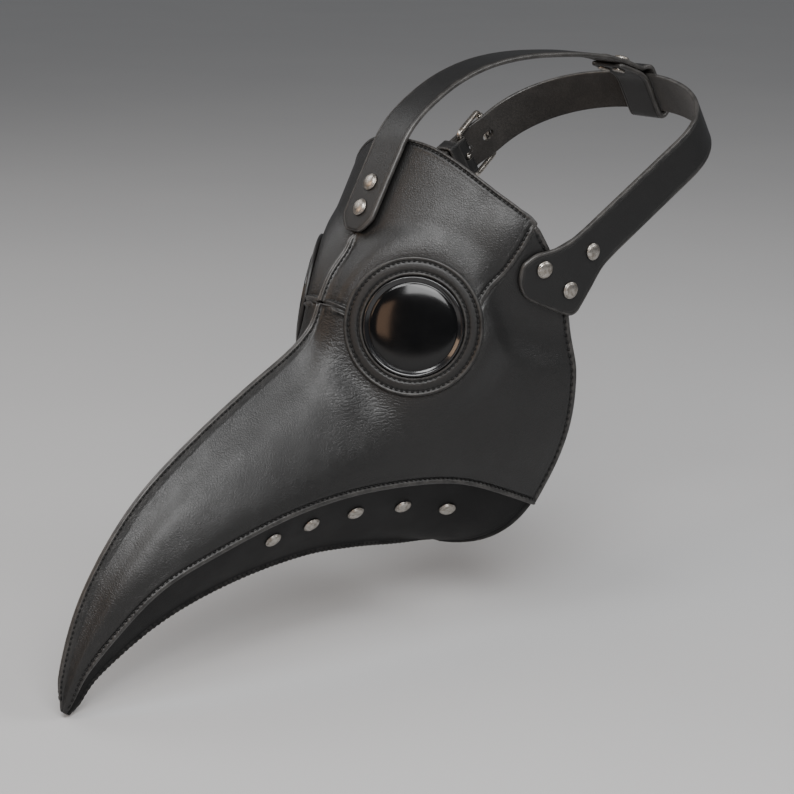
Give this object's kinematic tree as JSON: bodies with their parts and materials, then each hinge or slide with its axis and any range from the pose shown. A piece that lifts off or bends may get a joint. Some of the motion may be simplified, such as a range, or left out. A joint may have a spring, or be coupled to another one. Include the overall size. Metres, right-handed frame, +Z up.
{
  "type": "plague doctor mask",
  "caption": "Sewn leather face mask with a long down-curved beak, round tinted goggle lenses, riveted chin panels, a crown strap and a buckled rear strap.",
  "frame": {"origin": "the point midway between the wearer's pupils, where a head is placed in the mask", "axes": "+Z up, the beak points to -Y, the wearer's left is +X"},
  "size_m": [0.1736, 0.4325, 0.3187],
  "materials": {
    "body_leather": "semi-matt, fine pebble grain",
    "chin_leather": "matt, smooth",
    "ring_leather": "semi-matt, smooth, stitched",
    "strap_leather": "semi-matt with burnished edges",
    "lining_leather": "rough flesh side",
    "bezel": "gloss black",
    "retainer": "matt black",
    "lens": "dark tint, polished",
    "rivet_metal": "antique nickel-brass, worn high spots",
    "buckle_metal": "antique nickel-brass, satin"
  },
  "bodies": {
    "mask": {"beak_panel_left": "body_leather", "beak_panel_right": "body_leather", "brow_panel_left": "body_leather", "brow_panel_right": "body_leather", "chin_panel_left": "chin_leather", "chin_panel_right": "chin_leather", "eye_ring_left": "ring_leather", "eye_ring_right": "ring_leather", "lens_bezel_left": "bezel", "lens_bezel_right": "bezel", "lens_left": "lens", "lens_right": "lens", "lens_retainer_left": "retainer", "lens_retainer_right": "retainer", "crown_strap": "strap_leather", "crown_rivets": "rivet_metal", "strap_tab_left": "strap_leather", "strap_tab_right": "strap_leather", "tab_backing_left": "lining_leather", "tab_backing_right": "lining_leather", "temple_rivets_left": "rivet_metal", "temple_rivets_right": "rivet_metal", "chin_rivets_left": "rivet_metal", "chin_rivets_right": "rivet_metal"},
    "rear_strap": {"side_strap_left": "strap_leather", "side_strap_right": "strap_leather", "fold_rivets": "rivet_metal", "crown_loop_rivets": "rivet_metal", "fixed_keeper": "strap_leather"},
    "frame": {"buckle_frame": "buckle_metal"},
    "roller": {"buckle_roller": "buckle_metal"},
    "prong": {"buckle_prong": "buckle_metal"},
    "keeper": {"sliding_keeper": "strap_leather"}
  },
  "joints": [
    {"name": "rear_strap_swing", "type": "hinge", "parent": "mask", "child": "rear_strap", "pos_m": [0, 0.054, 0.025], "axis": [1, 0, 0], "range_deg": [-10, 12], "stiffness_Nm_per_rad": 3, "springref_deg": 1.15, "deforming": ["crown_strap"]},
    {"name": "buckle_frame_tilt", "type": "hinge", "parent": "rear_strap", "child": "frame", "pos_m": [-0.0785, 0.12328, 0.065], "axis": [0, -0.5, 0.866], "range_deg": [0, 10]},
    {"name": "buckle_prong_lift", "type": "hinge", "parent": "frame", "child": "prong", "pos_m": [-0.0785, 0.12328, 0.065], "axis": [0, -0.5, 0.866], "range_deg": [0, 10]},
    {"name": "buckle_roller_spin", "type": "hinge", "parent": "frame", "child": "roller", "pos_m": [-0.08425, 0.14407, 0.077], "axis": [0, -0.5, 0.866], "continuous": true},
    {"name": "keeper_slide", "type": "slide", "parent": "rear_strap", "child": "keeper", "axis": [0, 0.866, 0.5], "range_m": [-0.003, 0.0045]}
  ]
}
